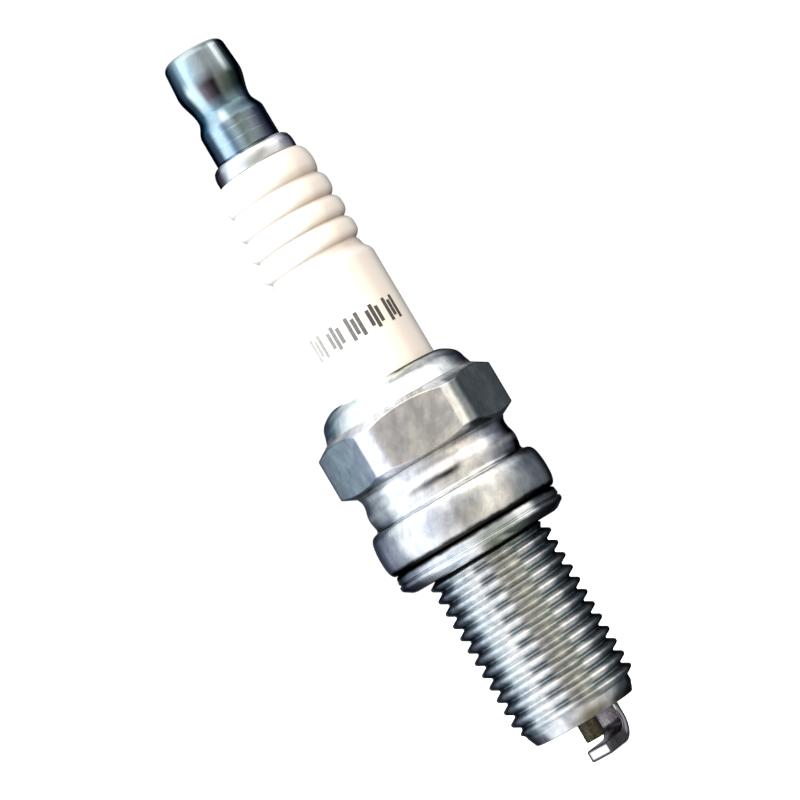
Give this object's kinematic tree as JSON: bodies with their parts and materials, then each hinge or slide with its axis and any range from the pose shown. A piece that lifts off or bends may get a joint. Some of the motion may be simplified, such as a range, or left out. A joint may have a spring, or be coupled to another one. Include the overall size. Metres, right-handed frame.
{
  "type": "spark plug",
  "caption": "Gasket-seat spark plug with ribbed ceramic, screw-on terminal, plated hexagon shell with a fine thread, and a bent ground electrode.",
  "frame": {"origin": "on the plug's axis, in the plane of the shell's seat, the underside of the flange", "axes": "+Z along the axis towards the terminal, hexagon flats facing +Y and -Y, hexagon corners on the X axis"},
  "size_m": [0.0176, 0.017, 0.0719],
  "materials": {
    "shell_plate": "bright nickel plate over turned and rolled steel",
    "gasket_plate": "bright plated folded steel",
    "terminal_plate": "bright nickel plate",
    "stud_steel": "satin plated steel",
    "insulator_glaze": "glossy clear glaze over white alumina",
    "electrode_nickel": "dull nickel alloy, darkened",
    "strap_nickel": "satin nickel alloy, heat tinted on the inside of the bend",
    "core_copper": "bare copper",
    "seal_glass": "dark conductive glass",
    "resistor_mix": "matte fired carbon and ceramic mix",
    "talc": "pressed powder",
    "packing_steel": "plain steel wire and strip"
  },
  "bodies": {
    "plug_body": {"shell": "shell_plate", "insulator": "insulator_glaze", "terminal_stud": "stud_steel", "upper_glass_seal": "seal_glass", "resistor": "resistor_mix", "lower_glass_seal": "seal_glass", "electrode_sheath": "electrode_nickel", "electrode_core": "core_copper", "upper_packing_ring": "packing_steel", "talc_filler": "talc", "lower_packing_ring": "packing_steel", "inner_gasket": "packing_steel", "ground_electrode": "strap_nickel"},
    "nut_body": {"terminal_nut": "terminal_plate"},
    "gasket_body": {"seat_gasket": "gasket_plate"}
  },
  "joints": [
    {"name": "terminal_nut_off", "type": "slide", "parent": "plug_body", "child": "nut_body", "axis": [0, 0, 1], "range_m": [0, 0.008]},
    {"name": "seat_gasket_play", "type": "slide", "parent": "plug_body", "child": "gasket_body", "axis": [0, 0, -1], "range_m": [0, 0.0003]}
  ]
}
